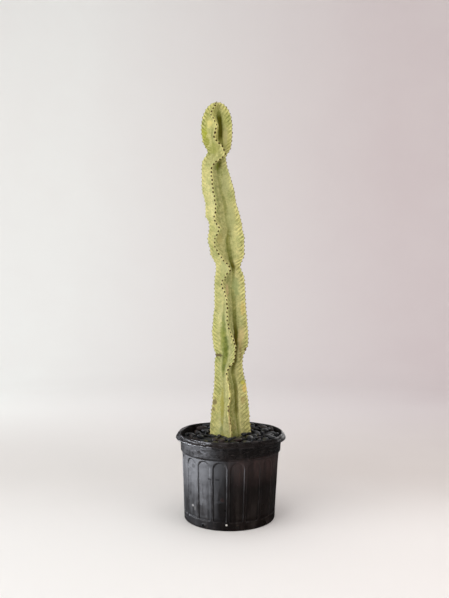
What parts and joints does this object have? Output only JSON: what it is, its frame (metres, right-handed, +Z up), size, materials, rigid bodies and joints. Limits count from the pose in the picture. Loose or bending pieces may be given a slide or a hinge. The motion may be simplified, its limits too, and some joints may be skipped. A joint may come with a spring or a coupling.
{
  "type": "potted variegated candelabra euphorbia",
  "caption": "Tall ribbed succulent column, pale green and yellow, pinched into segments, standing in a black nursery pot topped with polished river stones.",
  "frame": {"origin": "centre of the pot's foot, on the floor", "axes": "+Z up along the stem, -Y the front as pictured, +X to the viewer's right"},
  "size_m": [0.3876, 0.3876, 1.4575],
  "materials": {
    "pot_plastic": "black blow-moulded polyethylene, semi-gloss, scuffed and dusty",
    "potting_mix": "matte, crumbly bark and peat",
    "stem_skin": "waxy satin skin, pale yellow margins, green herringbone streaks",
    "river_stone": "polished black river stone"
  },
  "bodies": {
    "root": {"nursery_pot": "pot_plastic", "pebble_01": "river_stone", "pebble_02": "river_stone", "pebble_03": "river_stone", "pebble_04": "river_stone", "pebble_05": "river_stone", "pebble_06": "river_stone", "pebble_07": "river_stone", "pebble_08": "river_stone", "pebble_09": "river_stone", "pebble_10": "river_stone", "pebble_11": "river_stone", "pebble_12": "river_stone", "pebble_13": "river_stone", "pebble_14": "river_stone", "pebble_15": "river_stone", "pebble_16": "river_stone", "pebble_17": "river_stone", "pebble_18": "river_stone", "pebble_19": "river_stone", "pebble_20": "river_stone", "pebble_21": "river_stone", "pebble_22": "river_stone", "pebble_23": "river_stone", "pebble_24": "river_stone", "pebble_25": "river_stone", "pebble_26": "river_stone", "pebble_27": "river_stone", "pebble_28": "river_stone", "pebble_29": "river_stone", "pebble_30": "river_stone", "pebble_31": "river_stone", "pebble_32": "river_stone", "pebble_33": "river_stone", "pebble_34": "river_stone", "pebble_35": "river_stone", "pebble_36": "river_stone", "pebble_37": "river_stone", "pebble_38": "river_stone", "pebble_39": "river_stone", "pebble_40": "river_stone", "pebble_41": "river_stone", "pebble_42": "river_stone", "pebble_43": "river_stone", "pebble_44": "river_stone", "pebble_bed": "river_stone", "potting_soil": "potting_mix", "stem": "stem_skin"}
  },
  "joints": []
}
